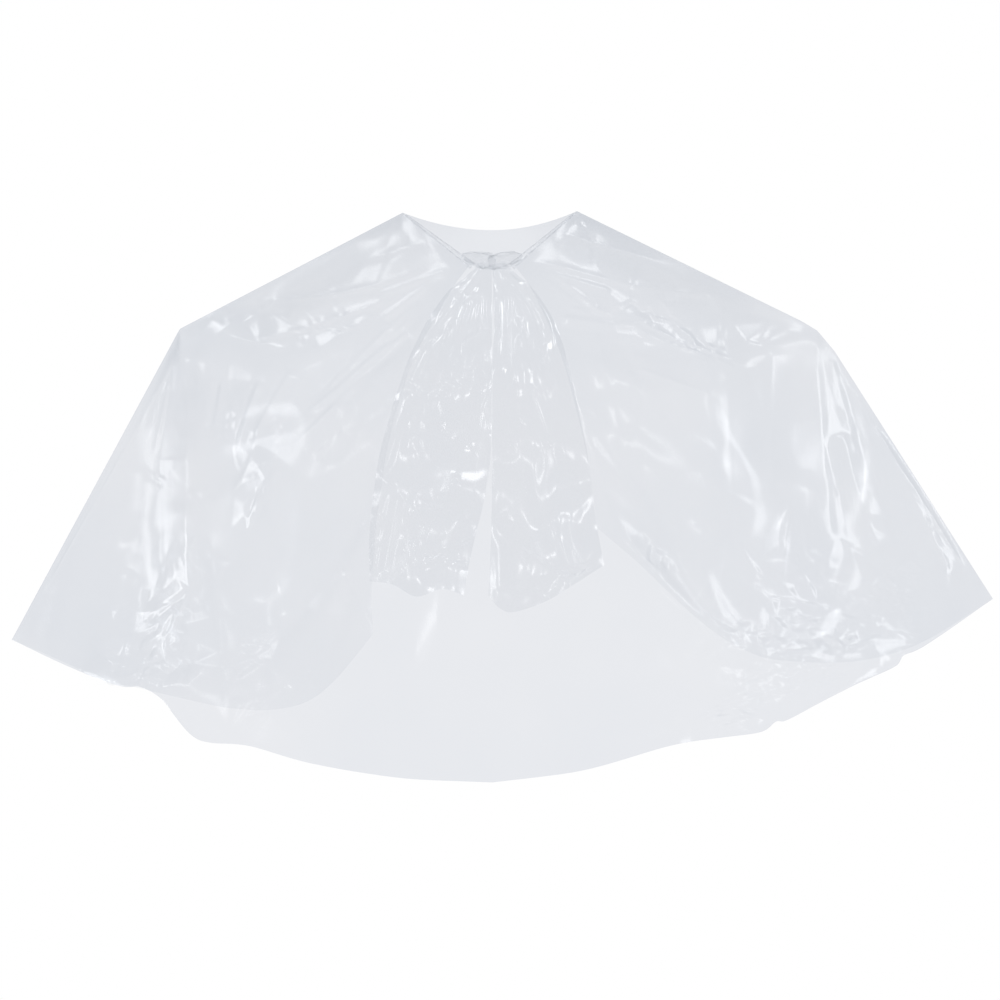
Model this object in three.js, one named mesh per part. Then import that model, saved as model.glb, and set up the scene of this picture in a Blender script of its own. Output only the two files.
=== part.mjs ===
// Disposable film cape, tied at the front of the neck, in the shape it takes when it is worn.
// Millimetres, +Z up. The wearer faces -Y, and the origin is the centre of the neck opening.
// The cape is one sheet of film with two ties. It is divided here along its folds, into panels
// that stay on the body and flaps that lift with the arms.
import * as THREE from 'three';

// Driving dimensions
const FILM = 0.6; // thickness of the shells, far thicker than the real film
const SEAM = 0.5; // distance from a piece of film to the line that divides it from its neighbour
const FOLD_RELIEF = 0.7; // distance from a panel to the crest of the shoulder fold at its top
const FLAP_RELIEF = 2; // the same for a flap, whose two leaves lie closer together
const CELL = 20; // target size of one facet of the film
const BACK_ROWS = 14; // facets from the top of the back panels to the hem
const FRONT_ROWS = 12;
const FLAP_COLUMNS = 8;
const FLAP_ROWS = 10;
const TAIL_COLUMNS = 6;
const TAIL_ROWS = 14;
const NECK_CROWDING = 1.3; // how much closer together the front columns are towards the neck

const BACK_NECK_Y = 55; // depth of the neck opening's back edge
const BACK_NECK_Z = -8;
const BACK_HEM_Z = -372; // lowest point of the hem, at the centre of the back
const RIDGE_Y = 8; // depth of the crest that runs over each shoulder

const KNOT_Y = -64;
const KNOT_Z = -34;
const KNOT_TURN = new THREE.Vector3(8, 6.5, 6.5); // half sizes of each turn of the knot
const KNOT_GAP = 0.4;
const TIE_RADIUS = 1.8; // bunched tie along the neckline
const TIE_FACETS = 10;
const TIE_ROUTE = [0.02, 0.3, 0.6, 0.9]; // shares of the way from the knot to the neck corner
const KNOT_FACETS_AROUND = 14;
const KNOT_FACETS_DOWN = 10;

const TAIL_TOP_Z = -43;
const TAIL_CLEARANCE = 5; // how far the tails stand in front of the chest

// Outlines of each side, as distances out from the centre line and heights.
const SIDES = [
  {
    name: 'left',
    sign: -1,
    bend: 199, // where the shoulder ends and the flap starts to hang
    neck: 57, // corner of the neck opening
    fold: [[57, 0], [199, -74], [306, -272]],
    backHem: [[0, BACK_HEM_Z], [120, -356], [160, -343], [195, -338], [230, -302], [306, -272]],
    frontHem: [[72, -264], [95, -291], [120, -308], [160, -310], [227, -304], [306, -272]],
    frontEdge: [[19, -40], [28, -54], [49, -97], [66, -160], [73, -228], [72, -264]],
    tailOuter: [[10, -43], [31, -60], [50, -95], [67, -150], [74, -200], [74, -232]],
    tailInner: [[0.7, -43], [0.7, -140], [4, -180], [12, -215], [17, -240]],
    tailEnd: [[17, -240], [45, -241], [74, -232]],
  },
  {
    name: 'right',
    sign: 1,
    bend: 207,
    neck: 54,
    fold: [[54, 1], [197, -69], [207, -75], [218, -88], [319, -246]],
    backHem: [[0, BACK_HEM_Z], [124, -343], [177, -334], [196, -326], [234, -303], [278, -275], [319, -246]],
    frontHem: [[64, -200], [94, -225], [128, -255], [184, -282], [253, -282], [278, -275], [319, -246]],
    frontEdge: [[19, -40], [29, -56], [42, -90], [53, -130], [60, -165], [64, -200]],
    tailOuter: [[11, -43], [31, -60], [44, -90], [57, -150], [64, -200], [68, -222]],
    tailInner: [[0.7, -43], [0.7, -140], [0, -180], [-1, -215], [-2, -240]],
    tailEnd: [[-2, -240], [14, -250], [34, -243], [68, -222]],
  },
];

// Depth that the film settles to as it hangs, and how soon below its top edge, by distance out.
const BACK_HANG = [[0, 112], [60, 112], [110, 106], [150, 92], [205, 72], [260, 42], [320, 28]];
const BACK_REACH = [[0, 60], [60, 55], [150, 45], [205, 80], [260, 110], [320, 110]];
const FRONT_HANG = [[0, -128], [72, -128], [110, -126], [150, -114], [205, -96], [260, -71], [320, -34]];
const FRONT_REACH = [[0, 100], [110, 95], [150, 90], [205, 130], [260, 160], [320, 160]];

const film = (name, color) => {
  const material = new THREE.MeshStandardMaterial({ color, roughness: 0.15, metalness: 0 });
  material.transparent = true;
  material.opacity = 0.35;
  material.name = name;
  return material;
};
const BODY_FILM = film('film', 0xe6e9ee);
const TIE_FILM = film('tie_film', 0xe9ebe6);

const mix = THREE.MathUtils.lerp;

// Height at a distance out, along straight stretches between the given points.
function straight(points, x) {
  let i = 1;
  while (i < points.length - 1 && x > points[i][0]) i += 1;
  const [x0, z0] = points[i - 1];
  const [x1, z1] = points[i];
  return mix(z0, z1, (x - x0) / (x1 - x0));
}

// Point at a fraction of the way along a smooth curve through the given points.
function along(points, t) {
  const curve = new THREE.SplineCurve(points.map(([x, z]) => new THREE.Vector2(x, z)));
  return curve.getPointAt(THREE.MathUtils.clamp(t, 0, 1));
}

const backNeckZ = (x, side) => mix(BACK_NECK_Z, side.fold[0][1], (x / side.neck) ** 2);
const backNeckY = (x, side) => mix(BACK_NECK_Y, RIDGE_Y, (x / side.neck) ** 2);

// Share of the way from the knot to the neck corner.
const neckShare = (x, side) => (x - side.frontEdge[0][0]) / (side.neck - side.frontEdge[0][0]);

// Top edge of the film at the back and at the front, as height and depth by distance out.
const backTop = {
  z: (x, side) => (x < side.neck ? backNeckZ(x, side) : straight(side.fold, x)),
  y: (x, side) => (x < side.neck ? backNeckY(x, side) : RIDGE_Y),
};
const frontTop = {
  z: (x, side) => (x < side.neck
    ? mix(side.frontEdge[0][1], side.fold[0][1], neckShare(x, side))
    : straight(side.fold, x)),
  y: (x, side) => (x < side.neck ? mix(KNOT_Y, RIDGE_Y, neckShare(x, side)) : RIDGE_Y),
};

// Depth of the film at a place in the front view.
function depth(x, z, side, top, hang, reach) {
  const drop = Math.max(top.z(x, side) - z, 0);
  const settled = 1 - Math.exp(-drop / straight(reach, x));
  return mix(top.y(x, side), straight(hang, x), settled);
}
const backDepth = (x, z, side) => depth(x, z, side, backTop, BACK_HANG, BACK_REACH);
const frontDepth = (x, z, side) => depth(x, z, side, frontTop, FRONT_HANG, FRONT_REACH);

// Depth of the tails, which lie over the chest and the edges of the front panels.
function tailDepth(_x, z) {
  const settled = 1 - Math.exp((z - KNOT_Z) / FRONT_REACH[0][1]);
  return mix(KNOT_Y, FRONT_HANG[0][1], settled) - TAIL_CLEARANCE;
}

// A patch between four edges in the front view, each a function that gives a Vector2.
function patch(top, bottom, inner, outer) {
  return (u, v) => {
    const across = top(u).multiplyScalar(1 - v).add(bottom(u).multiplyScalar(v));
    const down = inner(v).multiplyScalar(1 - u).add(outer(v).multiplyScalar(u));
    const upper = top(0).multiplyScalar(1 - u).add(top(1).multiplyScalar(u));
    const lower = bottom(0).multiplyScalar(1 - u).add(bottom(1).multiplyScalar(u));
    return across.add(down).sub(upper.multiplyScalar(1 - v)).sub(lower.multiplyScalar(v));
  };
}

// A patch whose columns are upright, between two distances out.
function columns(x0, x1, topZ, bottomZ) {
  return (u, v) => {
    const x = mix(x0, x1, u);
    return new THREE.Vector2(x, mix(topZ(x), bottomZ(x), v));
  };
}

// A closed shell of film over a patch: two skins, half the thickness to each side, and an edge.
function shell(name, outline, depthAt, side, cellsAcross, cellsDown, material) {
  const step = 0.5; // half the distance over which a slope is measured
  const skins = [[], []];
  for (let j = 0; j <= cellsDown; j += 1) {
    for (let i = 0; i <= cellsAcross; i += 1) {
      const { x, y: z } = outline(i / cellsAcross, j / cellsDown);
      const slopeX = (depthAt(x + step, z, side) - depthAt(x - step, z, side)) / (2 * step);
      const slopeZ = (depthAt(x, z + step, side) - depthAt(x, z - step, side)) / (2 * step);
      const normal = new THREE.Vector3(-slopeX, 1, -slopeZ).normalize();
      [-FILM / 2, FILM / 2].forEach((offset, skin) => {
        const point = new THREE.Vector3(x, depthAt(x, z, side), z).addScaledVector(normal, offset);
        skins[skin].push([point.x * side.sign, point.y, point.z]);
      });
    }
  }
  const width = cellsAcross + 1;
  const count = skins[0].length;
  const faces = [];
  const quad = (a, b, c, d) => faces.push([a, b, c], [a, c, d]);
  for (let j = 0; j < cellsDown; j += 1) {
    for (let i = 0; i < cellsAcross; i += 1) {
      const a = j * width + i;
      quad(a, a + width, a + width + 1, a + 1);
      quad(count + a, count + a + 1, count + a + width + 1, count + a + width);
    }
  }
  const last = cellsDown * width;
  for (let i = 0; i < cellsAcross; i += 1) {
    quad(i, i + 1, count + i + 1, count + i);
    quad(last + i + 1, last + i, count + last + i, count + last + i + 1);
  }
  for (let j = 0; j < cellsDown; j += 1) {
    const a = j * width;
    const b = a + cellsAcross;
    quad(a + width, a, count + a, count + a + width);
    quad(b, b + width, count + b + width, count + b);
  }
  const order = side.sign > 0 ? faces : faces.map(([a, b, c]) => [a, c, b]);
  const geometry = new THREE.BufferGeometry();
  const positions = skins.flat(2);
  geometry.setAttribute('position', new THREE.Float32BufferAttribute(positions, 3));
  geometry.setIndex(order.flat());
  const mesh = new THREE.Mesh(geometry, material);
  mesh.name = name;
  return mesh;
}

function backPanel(side) {
  const outline = columns(
    SEAM,
    side.bend - SEAM,
    (x) => backTop.z(x, side) - FOLD_RELIEF,
    (x) => straight(side.backHem, x),
  );
  const across = Math.round(side.bend / CELL);
  return shell(`${side.name}_back_panel`, outline, backDepth, side, across, BACK_ROWS, BODY_FILM);
}

function frontPanel(side) {
  const start = side.frontEdge[0][0];
  const [hemStart] = side.frontHem[0];
  const edge = side.bend - SEAM;
  const relief = (x) => (x < side.neck ? mix(0, FOLD_RELIEF, neckShare(x, side)) : FOLD_RELIEF);
  const topAt = (u) => {
    const x = mix(start, edge, u ** NECK_CROWDING);
    return new THREE.Vector2(x, frontTop.z(x, side) - relief(x));
  };
  const hemAt = (u) => {
    const x = mix(hemStart, edge, u);
    return new THREE.Vector2(x, straight(side.frontHem, x));
  };
  const outerAt = (v) => new THREE.Vector2(edge, mix(topAt(1).y, hemAt(1).y, v));
  const outline = patch(topAt, hemAt, (v) => along(side.frontEdge, v), outerAt);
  const across = Math.round(side.bend / CELL) + 2;
  return shell(`${side.name}_front_panel`, outline, frontDepth, side, across, FRONT_ROWS, BODY_FILM);
}

function flapLeaf(side, face, hem, depthAt) {
  const corner = side.fold.at(-1)[0];
  const outline = columns(
    side.bend + SEAM,
    corner - FLAP_RELIEF,
    (x) => straight(side.fold, x) - FLAP_RELIEF,
    (x) => straight(hem, x),
  );
  return shell(`${side.name}_flap_${face}`, outline, depthAt, side, FLAP_COLUMNS, FLAP_ROWS, BODY_FILM);
}

// The tie, bunched into a cord, from the neck corner down to the knot.
function tieStrip(side) {
  const start = side.frontEdge[0][0];
  const lift = 2 * TIE_RADIUS + SEAM;
  const points = TIE_ROUTE.map((share) => {
    const x = mix(start, side.neck, share);
    const z = frontTop.z(x, side) + mix(lift, lift / 2, share);
    return new THREE.Vector3(x * side.sign, frontTop.y(x, side) - mix(0, TIE_RADIUS, share), z);
  });
  const section = new THREE.Shape();
  section.absarc(0, 0, TIE_RADIUS, 0, 2 * Math.PI);
  const geometry = new THREE.ExtrudeGeometry(section, {
    extrudePath: new THREE.CatmullRomCurve3(points),
    steps: TIE_FACETS,
    curveSegments: TIE_FACETS / 2,
    bevelEnabled: false,
  });
  const mesh = new THREE.Mesh(geometry, TIE_FILM);
  mesh.name = `${side.name}_tie_strip`;
  return mesh;
}

function knotTurn(side) {
  const geometry = new THREE.SphereGeometry(1, KNOT_FACETS_AROUND, KNOT_FACETS_DOWN);
  geometry.scale(KNOT_TURN.x, KNOT_TURN.y, KNOT_TURN.z);
  const mesh = new THREE.Mesh(geometry, TIE_FILM);
  mesh.position.set(side.sign * (KNOT_TURN.x + KNOT_GAP), KNOT_Y, KNOT_Z);
  mesh.name = `${side.name}_knot_turn`;
  return mesh;
}

function tieTail(side) {
  const outline = patch(
    (u) => new THREE.Vector2(mix(side.tailInner[0][0], side.tailOuter[0][0], u), TAIL_TOP_Z),
    (u) => along(side.tailEnd, u),
    (v) => along(side.tailInner, v),
    (v) => along(side.tailOuter, v),
  );
  return shell(`${side.name}_tie_tail`, outline, tailDepth, side, TAIL_COLUMNS, TAIL_ROWS, TIE_FILM);
}

const cape = new THREE.Group();
for (const side of SIDES) {
  cape.add(
    backPanel(side),
    frontPanel(side),
    flapLeaf(side, 'back', side.backHem, backDepth),
    flapLeaf(side, 'front', side.frontHem, frontDepth),
    tieStrip(side),
    knotTurn(side),
    tieTail(side),
  );
}

export default cape;
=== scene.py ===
"""A clear disposable cape, tied at the throat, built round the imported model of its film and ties."""
import math

import bmesh
import bpy
import numpy as np
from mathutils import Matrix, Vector, geometry, noise
from mathutils.bvhtree import BVHTree


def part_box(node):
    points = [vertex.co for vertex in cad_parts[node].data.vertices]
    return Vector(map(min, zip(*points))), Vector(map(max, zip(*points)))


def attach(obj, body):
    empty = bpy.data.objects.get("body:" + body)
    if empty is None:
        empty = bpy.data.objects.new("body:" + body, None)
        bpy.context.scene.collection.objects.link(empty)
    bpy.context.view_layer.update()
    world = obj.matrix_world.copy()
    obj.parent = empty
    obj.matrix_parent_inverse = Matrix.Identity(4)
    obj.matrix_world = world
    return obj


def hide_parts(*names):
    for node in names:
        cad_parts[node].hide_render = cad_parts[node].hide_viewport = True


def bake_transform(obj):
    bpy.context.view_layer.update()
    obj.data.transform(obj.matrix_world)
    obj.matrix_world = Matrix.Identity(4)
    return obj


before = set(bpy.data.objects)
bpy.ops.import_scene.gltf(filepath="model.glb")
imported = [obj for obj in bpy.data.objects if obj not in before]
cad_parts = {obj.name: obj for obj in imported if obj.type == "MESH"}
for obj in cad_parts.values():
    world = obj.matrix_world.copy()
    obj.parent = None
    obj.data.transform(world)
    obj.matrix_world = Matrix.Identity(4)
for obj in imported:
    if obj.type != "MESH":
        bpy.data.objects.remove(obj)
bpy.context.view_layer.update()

MM = 0.001

# Driving dimensions in millimetres, as in the model that this scene is built round.
BACK_NECK_Y = 55
BACK_NECK_Z = -8
RIDGE_Y = 8
KNOT_Y = -64
KNOT_Z = -34
TAIL_CLEARANCE = 5

# Distance between neighbouring points of the film, and about how much film they cover.
CELL = 1.25
FRONT_LENGTH = 260
BACK_LENGTH = 360
TAIL_LENGTH = 220
TAIL_WIDTH = 100

# The bends of the shoulder folds are rounded off below: over how wide a stretch, and how soon.
ROUNDING = 16
ROUNDING_SAMPLES = 9
ROUNDED_BELOW = 40

# Rises and hollows of the film, as height and size, and how soon wrinkles start below a fold.
FRONT_ROLL = (1.2, 60)
BACK_ROLL = (2.2, 80)
TAIL_ROLL = (2.5, 40)
FLAT_BELOW = 10
TIGHT_CURVE = 1.3

# How crushed film looks: its calm facets, and how many creases a square millimetre of crinkle has.
CALM_STEP = 30
CALM_HEIGHT = 0.6
CALM_SCATTER = 0.45
CREASE_SHARE = 0.09
CREASE_HEIGHT = 1.5
CREASE_REACH = (2.0, 8.0)
CREASE_TURN = 26
CREASE_SPREAD = 0.6
BACK_SEED = 23

# The ties are crushed in fewer and longer creases.
TIE_CREASE_SHARE = 0.06
TIE_CREASE_HEIGHT = 1.9
TIE_CREASE_REACH = (4, 13)

# How the film settles: the step of the cloth, the film to spare, the frames it takes, how often its
# buckles are averaged, and the share of the columns that takes part.
CLOTH_STEP = 4
SPARE_FILM = 0.0015
SPARE_TIE_FILM = 0.02
SETTLING_FRAMES = 24
CALMED = 60
CALMED_TIE = 16
ALL_BUT_CORNER = 0.86

# How firmly the film is held where it isn't fixed or free.
FRONT_EDGE_HOLD = 0.6
HEM_HOLD = 0.2
TIE_EDGE_HOLD = 0.3

# How much larger the gathered knot is than its solid, and how it leans.
KNOT_SWELL = (1.35, 0.95, 0.86)
KNOT_TILT = 14

SIDES = [
    {
        "name": "left",
        "sign": -1,
        "seed": 3,
        "neck": 57,
        "fold": [(57, 0), (199, -74), (306, -272)],
        "back_hem": [
            (0, -370), (60, -367), (120, -356), (160, -343), (186, -341), (197, -337),
            (207, -326), (217, -312), (229, -304), (241, -303), (273, -289), (306, -272),
        ],
        "front_hem": [
            (72, -264), (95, -291), (120, -307), (160, -310), (227, -299), (241, -298),
            (273, -284), (306, -272),
        ],
        "front_edge": [(14, -38), (25, -53), (49, -97), (66, -160), (73, -228), (72, -264)],
        "tail_outer": [(8, -36), (31, -60), (50, -95), (67, -150), (74, -200), (74, -232)],
        "tail_inner": [(0.1, -37), (0.1, -140), (4, -180), (12, -215), (17, -240)],
        "tail_end": [(17, -240), (30, -236), (45, -241), (60, -234), (74, -232)],
        "front_cut": (0.33, 0.32, 0.066),
        "back_cut": (0.36, 0.39, 0.093),
    },
    {
        "name": "right",
        "sign": 1,
        "seed": 8,
        "neck": 54,
        "fold": [(54, 1), (197, -69), (207, -75), (218, -88), (319, -246)],
        "back_hem": [
            (0, -370), (60, -362), (124, -343), (150, -338), (177, -334), (187, -327),
            (196, -325), (234, -303), (259, -290), (264, -283), (278, -276), (319, -246),
        ],
        "front_hem": [
            (64, -200), (94, -225), (128, -255), (160, -275), (184, -281), (220, -283),
            (253, -278), (278, -269), (319, -246),
        ],
        "front_edge": [(14, -38), (25, -54), (42, -90), (53, -130), (60, -165), (64, -200)],
        "tail_outer": [(8, -36), (31, -60), (44, -90), (57, -150), (64, -200), (68, -222)],
        "tail_inner": [(0.1, -37), (0.1, -140), (0, -180), (-1, -215), (-2, -240)],
        "tail_end": [(-2, -240), (5, -248), (14, -250), (34, -243), (52, -232), (68, -222)],
        "front_cut": (0.34, 0.28, 0.061),
        "back_cut": (0.37, 0.39, 0.094),
    },
]

# Depth that the film settles to as it hangs, and how soon below its top edge, by distance out.
BACK_HANG = [(0, 112), (60, 112), (110, 106), (150, 92), (205, 72), (260, 42), (320, 28)]
BACK_REACH = [(0, 60), (60, 55), (150, 45), (205, 80), (260, 110), (320, 110)]
FRONT_HANG = [(0, -128), (72, -128), (110, -126), (150, -114), (205, -96), (260, -71), (320, -34)]
FRONT_REACH = [(0, 100), (110, 95), (150, 90), (205, 130), (260, 160), (320, 160)]

# Folds in the front layer of each side, as (start, end, height, width) in the front view. The
# long ones gather towards the knot, and the sharp thin ones are creases from the packet.
GATHERS = {
    "left": [
        ((33, -40), (170, -58), 1.6, 1.8),
        ((30, -44), (168, -84), 1.3, 2.5),
        ((46, -56), (112, -116), 1.6, 1.7),
        ((50, -66), (128, -150), 1.2, 2.1),
        ((128, -86), (172, -77), 0.8, 1.3),
        ((95, -220), (71, -263), 1.0, 1.3),
        ((40, -20), (84, -30), 1.2, 2.0),
    ],
    "right": [
        ((20, -34), (170, -55), 1.4, 2.0),
        ((30, -46), (168, -102), 1.6, 2.1),
        ((90, -64), (168, -100), 1.3, 1.3),
        ((92, -96), (150, -118), 0.8, 1.7),
        ((40, -14), (120, -34), 1.2, 1.8),
        ((96, -232), (130, -200), 1.0, 1.5),
        ((70, -84), (96, -200), 0.8, 9.0),
    ],
}
FLAP_FOLDS = {
    "left": [
        ((206, -100), (222, -156), 0.6, 1.2),
        ((196, -154), (226, -154), 0.4, 1.0),
        ((124, -300), (160, -268), 0.9, 2.5),
        ((206, -96), (299, -268), 0.7, 1.2),
    ],
    "right": [
        ((220, -100), (252, -140), 0.8, 1.3),
        ((203, -223), (260, -223), 1.1, 1.3),
        ((196, -254), (256, -254), 1.1, 1.3),
        ((252, -226), (271, -272), 0.8, 1.1),
        ((152, -268), (168, -252), 1.0, 1.6),
        ((224, -102), (310, -242), 0.7, 1.2),
    ],
}

# Pleats of the flaps, as (start, end, height, width inwards, width outwards).
PLEATS = {
    "left": [
        ((196, -80), (198, -205), 3.0, 30, 40),
        ((198, -176), (196.5, -280), 1.6, 8, 20),
    ],
    "right": [
        ((175, -66), (186, -225), 3.2, 28, 50),
        ((206, -90), (221, -206), 0.9, 12, 4),
        ((216, -90), (236, -154), 0.8, 6, 3.5),
        ((224, -134), (250, -216), 3.2, 12, 11),
        ((244, -130), (292, -232), 3.6, 14, 11),
    ],
}

# Tight pleats that the knot draws out of the film, in the same way.
KNOT_PLEATS = {
    "left": [
        ((26, -40), (74, -51), 1.2, 5, 3),
        ((40, -48), (72, -67), 1.3, 5, 3),
        ((52, -76), (86, -98), 1.0, 5, 2.5),
        ((63, -80), (118, -124), 1.2, 5, 2.8),
        ((98, -118), (127, -146), 1.2, 5, 3),
        ((126, -98), (152, -139), 1.2, 5, 3),
        ((147, -106), (164, -144), 1.3, 5, 3),
        ((171, -106), (179, -135), 1.2, 5, 3),
    ],
    "right": [
        ((36, -42), (78, -49), 1.0, 5, 2.5),
        ((42, -45), (66, -60), 0.9, 4, 2.5),
        ((42, -69), (98, -69), 1.4, 6, 3.2),
    ],
}
BACK_FOLDS = {
    "left": [
        ((0, -10), (0, -400), 0.5, 1.2),
        ((206, -96), (299, -268), 0.7, 1.2),
        ((186, -200), (176, -330), 1.6, 5.0),
    ],
    "right": [
        ((0, -10), (0, -400), 0.5, 1.2),
        ((224, -102), (310, -242), 0.7, 1.2),
        ((150, -318), (196, -306), 1.8, 3.0),
        ((196, -180), (182, -318), 1.6, 5.0),
    ],
}

# Crinkled places, as (centre, radii, turn in degrees, height, direction of the creases in degrees).
FRONT_CRINKLES = {
    "left": [
        ((166, -62), (26, 6), -14, 0.9, -18),
        ((103, -70), (26, 11), -8, 0.9, 12),
        ((96, -128), (16, 10), 40, 0.9, -60),
        ((118, -146), (18, 7), 30, 0.7, -50),
        ((168, -126), (22, 16), 0, 0.5, -72),
        ((211, -270), (16, 30), -4, 0.8, -60),
        ((209, -214), (10, 22), 0, 0.25, -80),
        ((222, -164), (12, 8), 0, 0.5, 20),
        ((230, -288), (30, 12), 0, 0.3, -30),
        ((62, -26), (12, 6), -20, 0.7, -30),
        ((136, -140), (20, 16), 0, 0.6, -55),
        ((152, -172), (10, 26), 0, 0.4, -70),
    ],
    "right": [
        ((56, -6), (8, 6), 0, 1.0, -40),
        ((128, -76), (34, 10), -28, 1.1, -32),
        ((58, -66), (16, 8), 0, 0.5, -10),
        ((104, -220), (18, 9), 40, 0.9, 40),
        ((142, -56), (14, 7), -10, 0.8, -50),
        ((184, -174), (8, 9), 0, 0.6, 60),
        ((183, -192), (8, 7), 0, 0.6, 70),
        ((239, -130), (10, 10), 0, 0.6, -40),
        ((240, -188), (11, 28), 16, 0.5, -68),
        ((274, -194), (8, 30), 28, 0.45, -62),
        ((201, -208), (9, 9), 0, 0.8, -30),
        ((222, -229), (22, 8), 4, 0.8, 14),
        ((179, -234), (12, 10), 0, 0.8, -40),
        ((188, -266), (18, 14), 0, 0.8, 30),
        ((225, -264), (20, 13), 0, 0.9, 50),
        ((214, -248), (40, 20), 6, 0.6, 8),
        ((285, -214), (6, 20), 28, 0.5, -56),
        ((160, -260), (9, 9), 0, 0.7, 50),
        ((181, -290), (14, 10), 0, 0.7, -30),
    ],
}
BACK_CRINKLES = {
    "left": [
        ((215, -250), (20, 50), 0, 0.8, -80),
        ((150, -276), (22, 12), -35, 0.7, -36),
        ((118, -296), (16, 10), -35, 0.6, -40),
        ((160, -318), (20, 8), 0, 0.6, -10),
    ],
    "right": [
        ((164, -322), (22, 7), 12, 1.4, 15),
        ((186, -300), (30, 14), 20, 1.0, 24),
        ((222, -284), (34, 12), 22, 1.0, 20),
        ((262, -250), (24, 20), 0, 0.8, -50),
        ((150, -270), (20, 20), 0, 0.7, 20),
    ],
}

# The same for the loose ends of the tie.
TAIL_FOLDS = {
    "left": [
        ((10, -44), (34, -100), 1.6, 2.0),
        ((16, -48), (30, -76), 1.2, 1.6),
        ((26, -70), (40, -86), 1.2, 1.6),
        ((20, -167), (36, -186), 1.6, 2.0),
        ((34, -185), (50, -191), 1.6, 2.0),
        ((41, -118), (54, -108), 1.2, 1.6),
        ((50, -121), (64, -124), 1.4, 1.8),
    ],
    "right": [
        ((10, -102), (15, -150), -1.4, 2.2),
        ((24, -124), (36, -150), 1.8, 1.8),
        ((22, -70), (32, -58), 1.0, 2.0),
        ((14, -50), (40, -120), 1.2, 2.4),
        ((6, -190), (16, -200), 1.0, 1.6),
    ],
}
TAIL_PLEATS = {
    "left": [
        ((2, -38), (4, -80), 0.9, 3, 2),
        ((3.5, -76), (12, -102), 0.9, 3, 2),
        ((5, -40), (17, -56), 0.7, 3, 1.6),
        ((14, -60), (26, -100), 0.9, 3, 2),
        ((26, -66), (40, -86), 0.9, 3, 2),
        ((50, -116), (66, -168), 1.4, 5, 4),
        ((56, -176), (66, -232), 1.8, 5, 5),
    ],
    "right": [
        ((10, -44), (11, -108), 1.0, 3, 2.2),
        ((20, -60), (32, -90), 0.8, 3, 1.8),
        ((24, -118), (36, -152), 1.4, 5, 3),
        ((8, -100), (10, -160), 1.2, 6, 4),
    ],
}
TAIL_CRINKLES = {
    "left": [
        ((4, -92), (6, 8), 0, 0.8, -80),
        ((2, -112), (4, 12), 0, 0.9, -80),
        ((4, -148), (8, 16), 0, 1.1, -60),
        ((61, -128), (12, 5), 0, 0.9, -10),
        ((63, -148), (7, 16), 0, 1.1, -80),
        ((64, -212), (8, 26), 0, 1.4, -72),
        ((40, -194), (14, 7), 0, 1.0, -10),
        ((26, -219), (10, 10), 0, 1.1, -20),
        ((46, -222), (8, 12), 0, 0.8, -80),
        ((30, -130), (12, 26), 0, 0.5, -76),
    ],
    "right": [
        ((20, -88), (5, 9), 0, 0.8, -80),
        ((29, -64), (8, 7), 0, 0.7, 50),
        ((30, -138), (8, 12), 0, 0.7, -60),
        ((48, -225), (18, 6), 8, 1.2, 12),
        ((34, -236), (5, 10), 0, 0.8, -80),
        ((10, -120), (6, 20), 0, 0.5, -80),
    ],
}


# Curves


def straight(points, x):
    """Value at x along straight stretches between points."""
    xs, zs = zip(*points)
    return np.interp(x, xs, zs)


def spline(points, steps=24):
    """Points along a smooth curve through the given ones."""
    p = np.array([points[0], *points, points[-1]], float)
    t = np.linspace(0, 1, steps, endpoint=False)[:, None]
    made = []
    for a, b, c, d in zip(p, p[1:], p[2:], p[3:]):
        bend = 2 * a - 5 * b + 4 * c - d
        twist = 3 * b - a - 3 * c + d
        made.append(0.5 * (2 * b + (c - a) * t + bend * t**2 + twist * t**3))
    return np.vstack([*made, p[-1:]])


def along(points, t):
    """Points at shares t of the length of the smooth curve through the given points."""
    curve = spline(points)
    length = np.concatenate([[0], np.cumsum(np.linalg.norm(np.diff(curve, axis=0), axis=1))])
    return np.stack([np.interp(t * length[-1], length, column) for column in curve.T], axis=-1)


def smooth(points, x):
    """Value at x on the smooth curve through points."""
    curve = spline(points)
    return np.interp(x, curve[:, 0], curve[:, 1])


def mix(a, b, t):
    return a + (b - a) * t


def fade(t):
    """0 below 0, 1 above 1 and smooth between."""
    t = np.clip(t, 0, 1)
    return t * t * (3 - 2 * t)


# The smooth surface of the worn sheet, as a depth for each place in the front view


def top_back(side, x):
    share = (x / side["neck"]) ** 2
    at_neck = x < side["neck"]
    z = np.where(at_neck, mix(BACK_NECK_Z, side["fold"][0][1], share), straight(side["fold"], x))
    return z, np.where(at_neck, mix(BACK_NECK_Y, RIDGE_Y, share), RIDGE_Y)


def top_front(side, x):
    start, z_start = side["front_edge"][0]
    share = (x - start) / (side["neck"] - start)
    at_neck = x < side["neck"]
    z = np.where(at_neck, mix(z_start, side["fold"][0][1], share), straight(side["fold"], x))
    return z, np.where(at_neck, mix(KNOT_Y, RIDGE_Y, share), RIDGE_Y)


def surface(side, x, z, top, hang, reach):
    """Depth of the film, and how far it is below the top edge, whose bends it rounds off below."""
    top_z, top_y = top(side, x)
    nearby = np.linspace(-ROUNDING, ROUNDING, ROUNDING_SAMPLES)
    soft_z, soft_y = np.mean([top(side, x + aside) for aside in nearby], axis=0)
    below = fade((top_z - z) / ROUNDED_BELOW)
    drop = np.maximum(mix(top_z, soft_z, below) - z, 0)
    settled = 1 - np.exp(-drop / smooth(reach, x))
    return mix(mix(top_y, soft_y, below), smooth(hang, x), settled), drop


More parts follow.
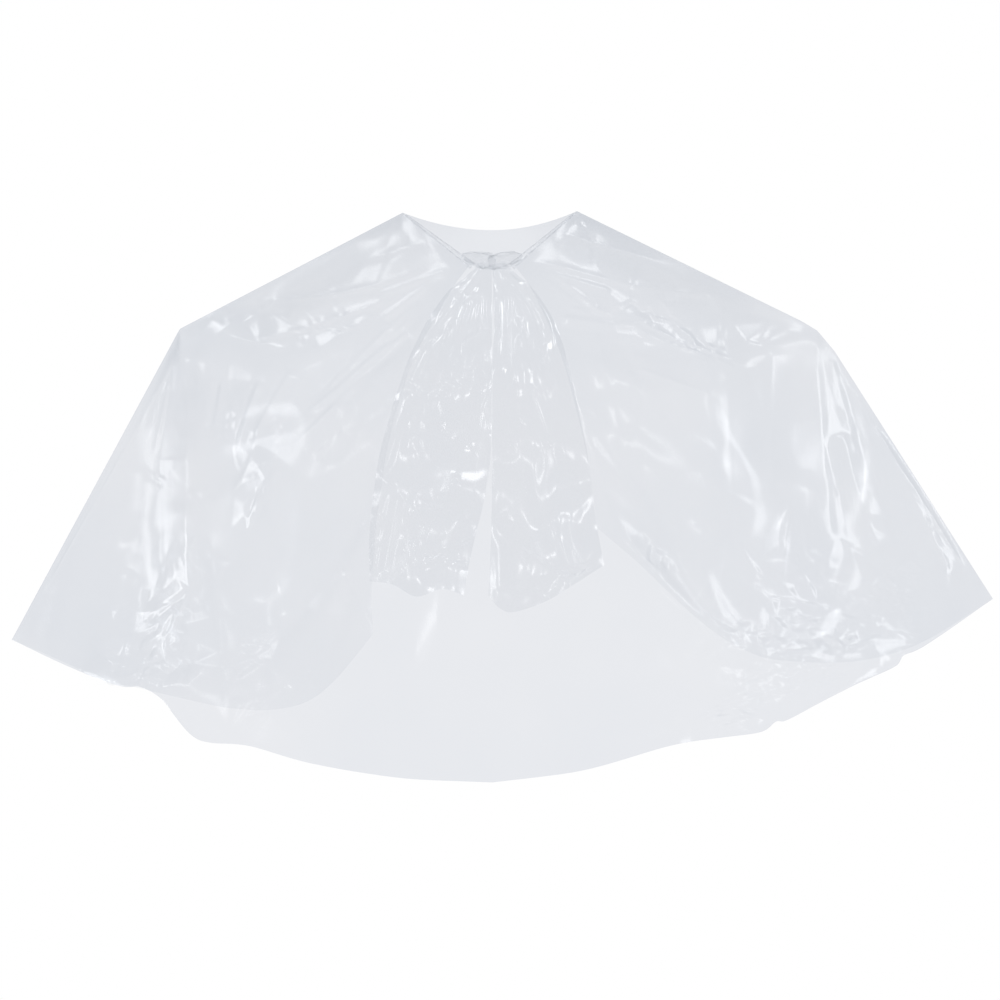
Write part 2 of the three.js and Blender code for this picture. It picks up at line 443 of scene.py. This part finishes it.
def patch(top, bottom, inner, outer):
    """Fills in between four edges: top and bottom run across, inner and outer run down."""
    u = np.linspace(0, 1, len(top))[None, :, None]
    v = np.linspace(0, 1, len(inner))[:, None, None]
    across = mix(top[None], bottom[None], v)
    down = mix(inner[:, None], outer[:, None], u)
    corners = mix(mix(top[0], top[-1], u), mix(bottom[0], bottom[-1], u), v)
    return across + down - corners


# Wrinkles, as heights in millimetres that stand out from the smooth surface


def ridge(x, z, start, end, height, width):
    """A fold from start to end, highest along its middle, that fades out at both ends."""
    a = np.array(start, float)
    b = np.array(end, float)
    length = np.linalg.norm(b - a)
    ux, uz = (b - a) / length
    t = ((x - a[0]) * ux + (z - a[1]) * uz) / length
    off = ((x - a[0]) * uz - (z - a[1]) * ux) / width
    ends = fade(t / 0.15) * fade((1 - t) / 0.35)
    return height * np.exp(-np.abs(off)) * ends


def pleat(x, z, start, end, height, inner, outer, curve=1.0):
    """A crest from start to end with flanks so many wide towards the centre line, or down, and outwards.

    The flanks are flat where curve is 1 and hollow where it is more."""
    a = np.array(start, float)
    b = np.array(end, float)
    length = np.linalg.norm(b - a)
    ux, uz = (b - a) / length
    t = ((x - a[0]) * ux + (z - a[1]) * uz) / length
    off = (z - a[1]) * ux - (x - a[0]) * uz
    flank = np.clip(1 - np.where(off < 0, -off / inner, off / outer), 0, 1)
    return height * flank**curve * fade(t / 0.12) * fade((1 - t) / 0.12)


def slack(x, z, lines):
    """How slack the film is, from 0 on the flanks of tight pleats to 1 away from them."""
    loose = np.ones_like(x)
    for start, end, _, inner, outer in lines:
        loose *= 1 - np.clip(2 * pleat(x, z, start, end, 1, 2 * inner, 2 * outer), 0, 1)
    return loose


def tight_pleats(x, z, lines):
    """Height of pleats that are drawn tight, with hollow flanks."""
    return sum(pleat(x, z, *line, TIGHT_CURVE) for line in lines)


def folds(x, z, fold_list):
    """Height of all the folds in a list."""
    h = np.zeros_like(x)
    for start, end, height, width in fold_list:
        h += ridge(x, z, start, end, height, width)
    return h


def rolling(x, z, size, seed, stretch=(1, 1)):
    """Soft rises and hollows about one size across."""
    heights = [
        noise.noise((a / (size * stretch[0]), b / (size * stretch[1]), seed))
        for a, b in zip(x.ravel(), z.ravel())
    ]
    return np.array(heights).reshape(x.shape)


def on_both_sides(places):
    """The crinkled places of both sides, at their own distances right of the centre line."""
    return [
        ((side["sign"] * x, z), radii, side["sign"] * turn, height, side["sign"] * direction)
        for side in SIDES
        for (x, z), radii, turn, height, direction in places[side["name"]]
    ]


def creased_film(low, high, places, seed, share=CREASE_SHARE, rise=CREASE_HEIGHT, lengths=CREASE_REACH):
    """Film that was crushed and pulled out again, as a terrain over the front view.

    It is made of flat facets between straight creases. The creases crowd together in the given
    places, and between them are only a few large facets that hardly tilt."""
    rng = np.random.default_rng(seed)
    points = []
    heights = []
    creases = []
    for a in np.arange(low[0], high[0] + CALM_STEP, CALM_STEP):
        for b in np.arange(low[1], high[1] + CALM_STEP, CALM_STEP):
            points.append((a, b) + rng.uniform(-CALM_SCATTER, CALM_SCATTER, 2) * CALM_STEP)
            heights.append(rng.normal(0, CALM_HEIGHT))
    for centre, radii, turn, height, direction in places:
        c, s = math.cos(math.radians(turn)), math.sin(math.radians(turn))
        count = round(share * radii[0] * radii[1])
        for _ in range(count):
            p, q = rng.normal(0, CREASE_SPREAD, 2) * radii
            middle = np.array(centre) + (p * c - q * s, p * s + q * c)
            angle = math.radians(direction + rng.normal(0, CREASE_TURN))
            reach = rng.uniform(*lengths) * np.array((math.cos(angle), math.sin(angle)))
            tall = rise * height * rng.uniform(0.2, 1.0) * rng.choice((-1, 1))
            creases.append((len(points), len(points) + 1))
            points += [middle - reach, middle + reach]
            heights += [tall, tall * rng.uniform(0.1, 1.0)]
    flat = [Vector(point) for point in points]
    corners, _, facets, origins, _, _ = geometry.delaunay_2d_cdt(flat, creases, [], 0, 0.01)
    tops = [(p.x, p.y, heights[known[0]] if known else 0.0) for p, known in zip(corners, origins)]
    return BVHTree.FromPolygons(tops, facets)


def height_on(terrain, x, z):
    """Height of the terrain at each place. A ray that slips between two facets is cast again beside."""
    down = Vector((0, 0, -1))
    above = 50
    aside = 0.03
    h = np.zeros(x.size)
    for i, (a, b) in enumerate(zip(x.ravel().tolist(), z.ravel().tolist())):
        hit = terrain.ray_cast((a, b, above), down)[0]
        hit = hit or terrain.ray_cast((a + aside, b, above), down)[0]
        h[i] = hit.z if hit else 0
    return h.reshape(x.shape)


def front_wrinkles(side, x, z, drop):
    name = side["name"]
    terrain = creased_film((0, -330), (330, 10), FRONT_CRINKLES[name], side["seed"])
    rise, size = FRONT_ROLL
    h = rise * rolling(x, z, size, side["seed"])
    h += folds(x, z, GATHERS[name]) + folds(x, z, FLAP_FOLDS[name]) + height_on(terrain, x, z)
    h += sum(pleat(x, z, *line) for line in PLEATS[name])
    h = h * slack(x, z, KNOT_PLEATS[name]) + tight_pleats(x, z, KNOT_PLEATS[name])
    return h * fade(drop / FLAT_BELOW)


def back_wrinkles(side, x, z, drop, terrain):
    rise, size = BACK_ROLL
    h = rise * rolling(x * side["sign"], z, size, BACK_SEED, stretch=(0.6, 1.8))
    h += folds(x, z, BACK_FOLDS[side["name"]]) + height_on(terrain, x * side["sign"], z)
    return h * fade(drop / FLAT_BELOW)


# Meshes


def grid_faces(rows, columns, flip=False):
    """Faces between the points of a grid."""
    a = (np.arange(rows - 1)[:, None] * columns + np.arange(columns - 1)[None]).ravel()
    quads = np.stack([a, a + columns, a + columns + 1, a + 1], axis=1)
    return quads[:, ::-1] if flip else quads


def tube_faces(rows, columns):
    """Faces between closed rings of points, one ring after another."""
    a = np.arange((rows - 1) * columns)
    beside = a - a % columns + (a + 1) % columns
    return np.stack([a, beside, beside + columns, a + columns], axis=1)


def new_piece(name, points, faces, material):
    """A smooth-shaded mesh from points in millimetres."""
    mesh = bpy.data.meshes.new(name)
    mesh.from_pydata((points * MM).tolist(), [], faces)
    mesh.validate()
    mesh.shade_smooth()
    mesh.materials.append(material)
    piece = bpy.data.objects.new(name, mesh)
    bpy.context.scene.collection.objects.link(piece)
    return piece


def weld(piece, distance):
    """Joins points that lie in the same place, and keeps pressed folds sharp."""
    shape = bmesh.new()
    shape.from_mesh(piece.data)
    bmesh.ops.remove_doubles(shape, verts=shape.verts, dist=distance)
    shape.to_mesh(piece.data)
    shape.free()
    piece.data.set_sharp_from_angle(angle=math.radians(50))


def cloth_moves(points, hold, spare):
    """How far each point of a grid moves as it settles as cloth, with some film to spare.

    hold is how firmly each point is held, from 0, free, to 1, fixed."""
    scene = bpy.context.scene
    rows, columns = hold.shape
    mesh = bpy.data.meshes.new("settling")
    mesh.from_pydata((points.reshape(-1, 3) * MM).tolist(), [], grid_faces(rows, columns).tolist())
    film = bpy.data.objects.new("settling", mesh)
    scene.collection.objects.link(film)
    held = film.vertex_groups.new(name="held")
    for i, weight in enumerate(hold.ravel().tolist()):
        if weight > 0:
            held.add([i], weight, "REPLACE")
    cloth = film.modifiers.new("cloth", "CLOTH")
    cloth.collision_settings.use_collision = False
    settings = cloth.settings
    settings.vertex_group_mass = held.name
    settings.quality = 6
    settings.mass = 0.02
    settings.tension_stiffness = 30
    settings.compression_stiffness = 30
    settings.shear_stiffness = 20
    settings.bending_stiffness = 0.05
    settings.shrink_min = -spare
    settings.effector_weights.gravity = 0.3
    for number in range(1, SETTLING_FRAMES + 1):
        scene.frame_set(number)
    settled = film.evaluated_get(bpy.context.evaluated_depsgraph_get()).data
    places = np.empty(points.size, np.float32)
    settled.vertices.foreach_get("co", places)
    bpy.data.objects.remove(film)
    bpy.data.meshes.remove(mesh)
    scene.frame_set(1)
    return places.reshape(points.shape) / MM - points


def softened(moves, free, passes):
    """Moves on a grid, averaged again and again with their neighbours, and none where it isn't free."""
    for _ in range(passes):
        for axis in (0, 1):
            room = [(1, 1) if axis == side else (0, 0) for side in range(moves.ndim)]
            wider = np.moveaxis(np.pad(moves, room, "edge"), axis, 0)
            moves = np.moveaxis(wider[:-2] + 2 * wider[1:-1] + wider[2:], 0, axis) / 4 * free
    return moves


def settle(points, hold, spare, passes, share=1.0):
    """Adds to a fine grid the buckles that a coarser cloth makes over a share of its columns."""
    rows, columns = hold.shape
    thin = round(share * (columns - 1))
    row_picks = np.unique(np.append(np.arange(0, rows - 1, CLOTH_STEP), rows - 1))
    column_picks = np.unique(np.append(np.arange(0, thin - 1, CLOTH_STEP), thin))
    coarse_hold = hold[np.ix_(row_picks, column_picks)]
    if share < 1:
        coarse_hold[:, -1] = 1
    moves = cloth_moves(points[np.ix_(row_picks, column_picks)], coarse_hold, spare)
    down = np.arange(rows)
    along_row = np.arange(thin + 1)
    full = np.zeros_like(points)
    for axis in range(3):
        wide = np.array([np.interp(along_row, column_picks, line) for line in moves[..., axis]])
        for column in along_row:
            full[:, column, axis] = np.interp(down, row_picks, wide[:, column])
    return points + softened(full, (hold < 1)[..., None], passes)


def hold_grid(rows, columns, inner, hem):
    """The fold along the top and the outer corner stay put; the inner edge and the hem give a little."""
    hold = np.zeros((rows, columns))
    hold[:, 0] = inner
    hold[-1] = hem
    hold[0] = 1
    hold[:, -1] = 1
    return hold


def front_grid(side, x_top):
    corner = side["fold"][-1][0]
    columns = len(x_top)
    rows = round(FRONT_LENGTH / CELL)
    v = np.linspace(0, 1, rows)
    x_hem = mix(side["front_hem"][0][0], corner, np.linspace(0, 1, columns))
    top = np.stack([x_top, top_front(side, x_top)[0]], axis=1)
    hem = np.stack([x_hem, smooth(side["front_hem"], x_hem)], axis=1)
    outer = np.tile(hem[-1], (rows, 1))
    outline = patch(top, hem, along(side["front_edge"], v), outer)
    x, z = outline[..., 0], outline[..., 1]
    y, drop = surface(side, x, z, top_front, FRONT_HANG, FRONT_REACH)
    smooth_film = np.stack([x * side["sign"], y, z], axis=-1)
    hold = hold_grid(rows, columns, FRONT_EDGE_HOLD, HEM_HOLD)
    film = settle(smooth_film, hold, SPARE_FILM, CALMED, ALL_BUT_CORNER)
    film[..., 1] -= front_wrinkles(side, x, z, drop)
    return film


def back_grid(side, x_top, terrain):
    x_neck = np.linspace(0, side["neck"], round(side["neck"] / CELL), endpoint=False)
    x_back = np.concatenate([x_neck, x_top[x_top >= side["neck"]]])
    rows = round(BACK_LENGTH / CELL)
    v = np.linspace(0, 1, rows)[:, None]
    x = np.broadcast_to(x_back, (rows, len(x_back)))
    z = mix(top_back(side, x)[0], smooth(side["back_hem"], x), v)
    y, drop = surface(side, x, z, top_back, BACK_HANG, BACK_REACH)
    smooth_film = np.stack([x * side["sign"], y, z], axis=-1)
    hold = hold_grid(rows, len(x_back), 1, HEM_HOLD)
    film = settle(smooth_film, hold, SPARE_FILM, CALMED, ALL_BUT_CORNER)
    film[..., 1] += back_wrinkles(side, x, z, drop, terrain)
    return film


def top_columns(side):
    """Distances out of the columns of points: closer at the neck, and one at each bend of the top edge."""
    corner = side["fold"][-1][0]
    start = side["front_edge"][0][0]
    u = np.linspace(0, 1, round((corner - start) / CELL))
    x_top = mix(start, corner, u**1.15)
    for bend in [side["neck"]] + [x for x, _ in side["fold"][1:-1]]:
        x_top[np.argmin(abs(x_top - bend))] = bend
    return x_top


def film_piece(name, grid, flip, material):
    """A piece of film from a grid of points, with its pressed folds kept sharp."""
    faces = grid_faces(*grid.shape[:2], flip).tolist()
    piece = new_piece(name, grid.reshape(-1, 3), faces, material)
    weld(piece, 0.02 * MM)
    return piece


def tail(side, material):
    """A loose end of the tie: pleated where it leaves the knot and crumpled flat below."""
    name = side["name"]
    seed = side["seed"]
    rows = round(TAIL_LENGTH / CELL)
    columns = round(TAIL_WIDTH / CELL)
    v = np.linspace(0, 1, rows)
    u = np.linspace(0, 1, columns)
    inner = along(side["tail_inner"], v)
    outer = along(side["tail_outer"], v)
    top = mix(inner[0], outer[0], u[:, None])
    outline = patch(top, along(side["tail_end"], u), inner, outer)
    x, z = outline[..., 0], outline[..., 1]
    v = v[:, None]
    settled = 1 - np.exp((z - KNOT_Z) / FRONT_REACH[0][1])
    y = mix(KNOT_Y, FRONT_HANG[0][1], settled) - TAIL_CLEARANCE * fade(v / 0.12)

    # The gathers are deepest a third of the way down, and nearly flat at the end.
    gathers = 4.5
    wander = 0.35 * rolling(x, z, 45, seed + 1)
    fan = 0.25 - np.abs((u * gathers + wander) % 1 - 0.5)
    opened = mix(2.6, 5.0, fade(v / 0.3)) * (1 - 0.85 * fade((v - 0.25) / 0.45))
    loose = slack(x, z, TAIL_PLEATS[name])
    rise, size = TAIL_ROLL
    h = fan * opened * loose + rise * rolling(x, z, size, seed + 4) * fade(v / 0.8)
    pleated_film = np.stack([x * side["sign"], y - h, z], axis=-1)

    # It is held firmly at the knot and along the tight pleats, and loosely at its edges.
    hold = np.zeros((rows, columns))
    hold[:, 0] = hold[:, -1] = hold[-1] = TIE_EDGE_HOLD
    hold[loose < 0.01] = 1
    hold[0] = 1
    film = settle(pleated_film, hold, SPARE_TIE_FILM, CALMED_TIE)

    places = TAIL_CRINKLES[name]
    how = (TIE_CREASE_SHARE, TIE_CREASE_HEIGHT, TIE_CREASE_REACH)
    terrain = creased_film((-20, -260), (90, -30), places, seed + 2, *how)
    film[..., 1] -= (folds(x, z, TAIL_FOLDS[name]) + height_on(terrain, x, z) * fade(v / 0.1)) * loose
    film[..., 1] -= tight_pleats(x, z, TAIL_PLEATS[name])
    return film_piece(f"{name}_tail", film, side["sign"] < 0, material)


def pleated(turn, along_it, pleats, depth, seed):
    """Share by which pleats stand out of a bunch of film, by the turn round it and the way along it."""
    twist = 1.2 * along_it + 0.5 * np.sin(3.1 * along_it + seed)
    sharp = np.abs(np.sin((turn + twist) * pleats / 2 + seed))
    small = np.abs(np.sin((turn - 0.7 * twist) * pleats * 0.8 + 2.3 * seed))
    return 1 + depth * (sharp - 0.5) + 0.4 * depth * (small - 0.5)


def neck_tie(side, material):
    """The bunched edge of the film, from the corner of the neck opening down to the knot."""
    start = side["front_edge"][0][0]
    rows, around = 64, 40
    inset = 2.0
    thick, thin = 2.0, 0.6
    t = np.linspace(0, 1, rows)[:, None]
    x = mix(start - inset, side["neck"] - inset, t)
    share = (x - start) / (side["neck"] - start)
    path_z = mix(side["front_edge"][0][1], side["fold"][0][1], share)
    path_y = mix(KNOT_Y, RIDGE_Y, share)
    turn = np.linspace(0, 2 * math.pi, around, endpoint=False)[None]
    radius = mix(thick, thin, t**0.6) * pleated(turn, 4 * t, 5, 0.55, side["seed"])
    slope = math.atan2(side["fold"][0][1] - side["front_edge"][0][1], side["neck"] - start)
    rise = 1.6 * (1 - t)
    out = np.cos(turn) * radius
    front = np.sin(turn) * radius
    points = np.stack(
        [
            (x - math.sin(slope) * out) * side["sign"],
            path_y - front,
            path_z + rise + math.cos(slope) * out,
        ],
        axis=-1,
    )
    return closed_tube(f"{side['name']}_neck_tie", points.reshape(-1, 3), rows, around, material)


def closed_tube(name, points, rows, around, material):
    """A piece from rings of points, with its rings of faces and one face over each end."""
    first = list(range(around))
    last = list(range((rows - 1) * around, rows * around))
    piece = new_piece(name, points, tube_faces(rows, around).tolist() + [first[::-1], last], material)
    shape = bmesh.new()
    shape.from_mesh(piece.data)
    bmesh.ops.recalc_face_normals(shape, faces=shape.faces)
    shape.to_mesh(piece.data)
    shape.free()
    return piece


def knot_turn(side, material):
    """One side of the knot: pleated film drawn tight, that narrows towards the neck tie."""
    low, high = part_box(f"{side['name']}_knot_turn")
    middle = np.array((low + high) / 2) / MM
    half = np.array((high - low) / 2) / MM * KNOT_SWELL
    rows, around = 48, 96
    polar = np.linspace(0.02, math.pi - 0.02, rows)[:, None]
    turn = np.linspace(0, 2 * math.pi, around, endpoint=False)[None]
    outwards = np.cos(polar)
    girth = np.sin(polar) ** 0.6 * (0.78 - 0.3 * outwards)
    ball = np.stack([outwards + 0 * turn, girth * np.cos(turn), girth * np.sin(turn)], axis=-1)
    offset = Vector((side["seed"], 0, 0))
    lumps = np.array([noise.noise(Vector(p) * 1.7 + offset) for p in ball.reshape(-1, 3)])
    lumpy = 1 + 0.35 * lumps.reshape(rows, around)
    bulge = pleated(turn, 1.5 * polar, 7, 0.32, side["seed"]) * lumpy
    tilt = math.radians(KNOT_TILT)
    across = ball[..., 0] * half[0]
    up = ball[..., 1] * bulge * half[2]
    front = ball[..., 2] * bulge * half[1]
    leaned = across * math.cos(tilt) - up * math.sin(tilt)
    raised = up * math.cos(tilt) + across * math.sin(tilt)
    points = np.stack([leaned * side["sign"], -front, raised], axis=-1).reshape(-1, 3) + middle
    return closed_tube(f"{side['name']}_knot", points, rows, around, material)


# Material


def new_node(tree, kind, inputs=None, **settings):
    """A node with its settings, and with values for the inputs that nothing is linked to."""
    node = tree.nodes.new(kind)
    for name, value in settings.items():
        setattr(node, name, value)
    for name, value in (inputs or {}).items():
        node.inputs[name].default_value = value
    return node


def film_material(name, clear, edge, gloss, rim, milkiness):
    """Clear glossy film that dims what is behind it a little.

    It is less clear and shinier where it is seen edge on."""
    material = bpy.data.materials.new(name)
    material.use_nodes = True
    tree = material.node_tree
    tree.nodes.clear()
    links = tree.links
    out = new_node(tree, "ShaderNodeOutputMaterial")
    place = new_node(tree, "ShaderNodeTexCoord")

    grain = new_node(tree, "ShaderNodeTexNoise", {"Scale": 70.0, "Detail": 2.0, "Distortion": 1.2})
    bump = new_node(tree, "ShaderNodeBump", {"Strength": 0.04, "Distance": 0.001})
    links.new(place.outputs["Object"], grain.inputs["Vector"])
    links.new(grain.outputs["Fac"], bump.inputs["Height"])

    facing = new_node(tree, "ShaderNodeLayerWeight", {"Blend": 0.5})
    power = new_node(tree, "ShaderNodeMath", {1: 4.0}, operation="POWER")
    shine = new_node(tree, "ShaderNodeMath", {1: rim, 2: gloss}, operation="MULTIPLY_ADD")
    links.new(facing.outputs["Facing"], power.inputs[0])
    links.new(power.outputs[0], shine.inputs[0])

    cloud = new_node(tree, "ShaderNodeTexNoise", {"Scale": 9.0, "Detail": 4.0})
    tint = new_node(tree, "ShaderNodeValToRGB")
    dimmer, clearest = tint.color_ramp.elements
    dimmer.position = 0.35
    dimmer.color = (clear[0] - 0.02, clear[1] - 0.015, clear[2] - 0.01, 1)
    clearest.position = 0.65
    clearest.color = (*clear, 1)
    edge_on = new_node(tree, "ShaderNodeMath", {1: 2.0}, operation="POWER")
    thicker = new_node(tree, "ShaderNodeMix", {"B": (*edge, 1)}, data_type="RGBA")
    through = new_node(tree, "ShaderNodeBsdfTransparent")
    links.new(place.outputs["Object"], cloud.inputs["Vector"])
    links.new(cloud.outputs["Fac"], tint.inputs["Fac"])
    links.new(facing.outputs["Facing"], edge_on.inputs[0])
    links.new(edge_on.outputs[0], thicker.inputs["Factor"])
    links.new(tint.outputs["Color"], thicker.inputs["A"])
    links.new(thicker.outputs["Result"], through.inputs["Color"])

    patchy = {"From Min": 0.3, "From Max": 0.7, "To Min": 0.10, "To Max": 0.24}
    rough = new_node(tree, "ShaderNodeMapRange", patchy)
    glossy = new_node(tree, "ShaderNodeBsdfGlossy", {"Color": (1, 1, 1, 1)})
    links.new(cloud.outputs["Fac"], rough.inputs["Value"])
    links.new(rough.outputs["Result"], glossy.inputs["Roughness"])
    links.new(bump.outputs["Normal"], glossy.inputs["Normal"])

    haze = new_node(tree, "ShaderNodeBsdfDiffuse", {"Color": (0.9, 0.92, 0.96, 1)})
    milk = new_node(tree, "ShaderNodeMixShader", {"Fac": milkiness})
    film = new_node(tree, "ShaderNodeMixShader")
    links.new(through.outputs[0], milk.inputs[1])
    links.new(haze.outputs[0], milk.inputs[2])
    links.new(shine.outputs[0], film.inputs["Fac"])
    links.new(milk.outputs[0], film.inputs[1])
    links.new(glossy.outputs[0], film.inputs[2])
    links.new(film.outputs[0], out.inputs["Surface"])
    return material


# Stage

# Soft boxes in metres and watts, as (name, place, size, power): on both sides at a distance from the
# centre line, and single ones.
PAIRED_LIGHTS = [
    ("over", (1.04, 0.37, 1.38), (0.2, 0.2), 0.45),
    ("top", (0.50, 0.4, 1.24), (0.3, 0.2), 0.6),
    ("shoulder", (1.52, -0.23, 1.07), (0.14, 0.18), 0.3),
    ("high", (1.1, -0.95, 1.03), (0.1, 0.3), 0.35),
    ("level", (0.45, -2.3, 0.35), (0.2, 0.2), 0.5),
    ("low", (1.1, -1.45, -0.3), (0.12, 0.12), 0.22),
    ("under", (1.5, -0.92, -0.75), (0.3, 0.3), 0.9),
    ("behind", (1.85, 0.66, 0.05), (0.4, 0.5), 1.9),
    ("back", (1.4, 1.4, 0.6), (0.3, 0.8), 4),
]
SINGLE_LIGHTS = [
    ("front", (0, -1.05, 1.36), (0.5, 0.25), 1.3),
    ("strip_left", (-1.9, -0.08, -0.05), (0.3, 0.9), 2.8),
    ("strip_right", (1.9, -0.08, 0.3), (0.3, 1.4), 4.2),
]
CHEST = (0, 0, -0.2)
FLOOR_Z = -1.45
FLOOR_HALF = 1.6
CAMERA_DISTANCE = 2.6
PICTURE_WIDTH = 0.635
PICTURE_MIDDLE = (0.005, -0.183)


def area_light(name, place, size, power):
    """A soft box that faces the chest and that the camera doesn't see."""
    data = bpy.data.lights.new(name, "AREA")
    data.shape = "RECTANGLE"
    data.size, data.size_y = size
    data.energy = power
    light = bpy.data.objects.new(name, data)
    light.location = place
    light.rotation_euler = (Vector(CHEST) - Vector(place)).to_track_quat("-Z", "Y").to_euler()
    light.visible_camera = False
    bpy.context.scene.collection.objects.link(light)


def make_floor():
    """A pale floor at standing height below the neck."""
    mesh = bpy.data.meshes.new("floor")
    corners = [
        (x * FLOOR_HALF, y * FLOOR_HALF, FLOOR_Z)
        for x, y in ((-1, -1), (1, -1), (1, 1), (-1, 1))
    ]
    mesh.from_pydata(corners, [], [(0, 1, 2, 3)])
    floor = bpy.data.objects.new("floor", mesh)
    pale = bpy.data.materials.new("pale_floor")
    pale.use_nodes = True
    shader = pale.node_tree.nodes["Principled BSDF"]
    shader.inputs["Base Color"].default_value = (0.9, 0.9, 0.9, 1)
    shader.inputs["Roughness"].default_value = 0.8
    mesh.materials.append(pale)
    bpy.context.scene.collection.objects.link(floor)


def make_lights():
    for end, sign in (("left", -1), ("right", 1)):
        for name, (x, y, z), size, power in PAIRED_LIGHTS:
            area_light(f"{name}_{end}", (sign * x, y, z), size, power)
    for light in SINGLE_LIGHTS:
        area_light(*light)


def make_surround():
    """White to the camera, and a dimmer, cooler room in reflections."""
    world = bpy.data.worlds.new("surround")
    bpy.context.scene.world = world
    world.use_nodes = True
    tree = world.node_tree
    tree.nodes.clear()
    path = new_node(tree, "ShaderNodeLightPath")
    seen = new_node(tree, "ShaderNodeBackground", {"Color": (1, 1, 1, 1)})
    room = new_node(tree, "ShaderNodeBackground", {"Color": (0.60, 0.62, 0.66, 1), "Strength": 0.85})
    choose = new_node(tree, "ShaderNodeMixShader")
    out = new_node(tree, "ShaderNodeOutputWorld")
    tree.links.new(path.outputs["Is Camera Ray"], choose.inputs["Fac"])
    tree.links.new(room.outputs[0], choose.inputs[1])
    tree.links.new(seen.outputs[0], choose.inputs[2])
    tree.links.new(choose.outputs[0], out.inputs["Surface"])


def make_camera():
    """Level with the chest and straight on, far enough back to look almost flat."""
    data = bpy.data.cameras.new("camera")
    data.lens = data.sensor_width * CAMERA_DISTANCE / PICTURE_WIDTH
    camera = bpy.data.objects.new("camera", data)
    x, z = PICTURE_MIDDLE
    camera.location = (x, -CAMERA_DISTANCE, z)
    camera.rotation_euler = (math.radians(90), 0, 0)
    bpy.context.scene.collection.objects.link(camera)
    bpy.context.scene.camera = camera


make_camera()
make_floor()
make_lights()
make_surround()
scene = bpy.context.scene
scene.view_settings.view_transform = "Standard"
scene.cycles.transparent_max_bounces = 24

front_film = film_material("front_film", (0.985, 0.986, 0.988), (0.66, 0.69, 0.73), 0.05, 0.6, 0.03)
# The back layer is the same film as the front. Its darker tint and edge colour are painted shade, for the
# back layer being lit less by the lamps in front.
shaded_back_film = film_material("shaded_back_film", (0.845, 0.857, 0.888), (0.62, 0.65, 0.69), 0.05, 0.6, 0.04)
tail_film = film_material("tail_film", (0.975, 0.977, 0.98), (0.84, 0.86, 0.88), 0.12, 0.5, 0.03)
tie_film = film_material("gathered_film", (0.985, 0.986, 0.988), (0.955, 0.96, 0.965), 0.09, 0.08, 0.03)

back_terrain = creased_film((-330, -390), (330, 10), on_both_sides(BACK_CRINKLES), BACK_SEED)
for side in SIDES:
    name, sign = side["name"], side["sign"]
    x_top = top_columns(side)
    front = film_piece(f"{name}_front", front_grid(side, x_top), sign < 0, front_film)
    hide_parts(f"{name}_front_panel", f"{name}_flap_front")
    back = film_piece(f"{name}_back", back_grid(side, x_top, back_terrain), sign > 0, shaded_back_film)
    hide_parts(f"{name}_back_panel", f"{name}_flap_back")
    for piece in (front, back):
        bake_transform(piece)
    loose_end = tail(side, tail_film)
    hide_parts(f"{name}_tie_tail")
    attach(loose_end, f"{name}_tail")

    gathered_edge = neck_tie(side, tie_film)
    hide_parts(f"{name}_tie_strip")
    lump = knot_turn(side, tie_film)
    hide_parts(f"{name}_knot_turn")
    for piece in (gathered_edge, lump):
        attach(piece, "root")
